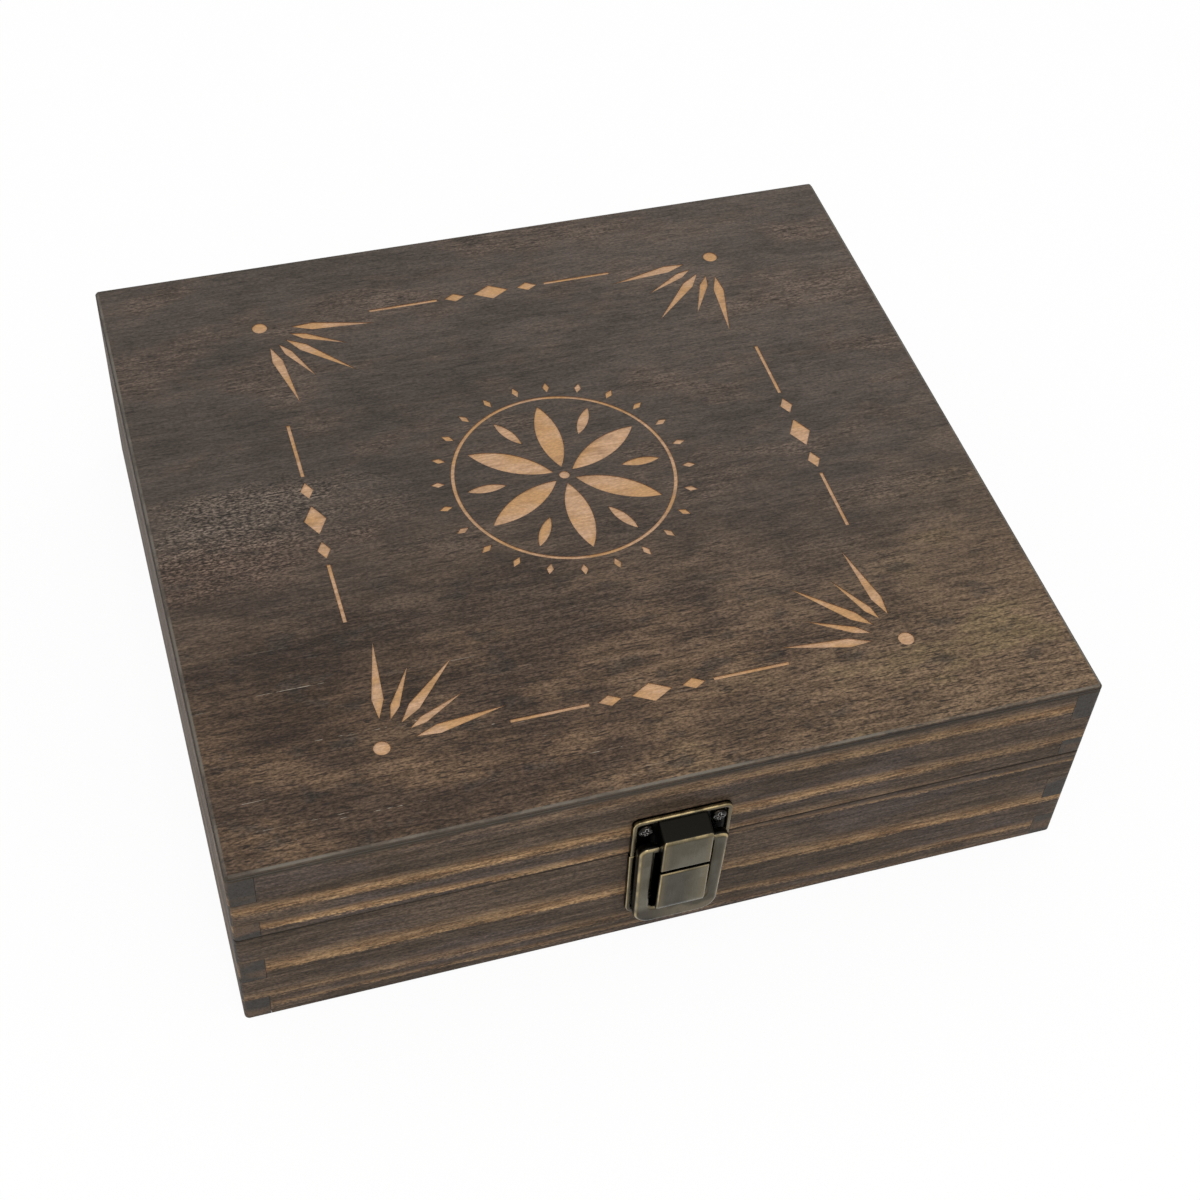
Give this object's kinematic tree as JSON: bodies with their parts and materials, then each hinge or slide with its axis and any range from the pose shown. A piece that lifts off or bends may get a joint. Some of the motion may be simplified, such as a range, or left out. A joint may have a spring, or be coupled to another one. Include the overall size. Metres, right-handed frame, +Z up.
{
  "type": "keepsake box",
  "caption": "Square finger-jointed wooden box with a shallow hinged lid, a thin overlaid top board and a brass swing hasp, for papers and keepsakes.",
  "frame": {"origin": "centre of the flat underside, midway between the outer faces of the four walls", "axes": "+Z up out of the lid, -Y out of the front face with the hasp, +X to the right of someone facing the front"},
  "size_m": [0.254, 0.2506, 0.0728],
  "materials": {
    "stained_wood": "solid softwood boards, dark brown stain, satin",
    "panel_wood": "thin board, dark brown stain, satin",
    "antique_brass": "antique brass plate, blackened in the hollows and bright on the edges",
    "black_screws": "blackened steel"
  },
  "bodies": {
    "base": {"base_front_wall": "stained_wood", "base_back_wall": "stained_wood", "base_left_wall": "stained_wood", "base_right_wall": "stained_wood", "base_bottom_panel": "panel_wood", "keeper_plate": "antique_brass", "keeper_screws": "black_screws", "left_hinge_base_leaf": "antique_brass", "right_hinge_base_leaf": "antique_brass", "left_hinge_pin": "antique_brass", "right_hinge_pin": "antique_brass", "hinge_base_screws": "black_screws"},
    "lid": {"lid_front_rail": "stained_wood", "lid_back_rail": "stained_wood", "lid_left_rail": "stained_wood", "lid_right_rail": "stained_wood", "lid_top_panel": "panel_wood", "hasp_plate": "antique_brass", "hasp_plate_screws": "black_screws", "hasp_pin": "antique_brass", "left_hinge_lid_leaf": "antique_brass", "right_hinge_lid_leaf": "antique_brass", "hinge_lid_screws": "black_screws"},
    "hasp": {"hasp_frame": "antique_brass"}
  },
  "joints": [
    {"name": "lid_hinge", "type": "hinge", "parent": "base", "child": "lid", "pos_m": [0, 0.1215, 0.04185], "axis": [-1, 0, 0], "range_deg": [0, 180]},
    {"name": "hasp_swing", "type": "hinge", "parent": "lid", "child": "hasp", "pos_m": [0, -0.1228, 0.0471], "axis": [-1, 0, 0], "range_deg": [0, 165]}
  ]
}
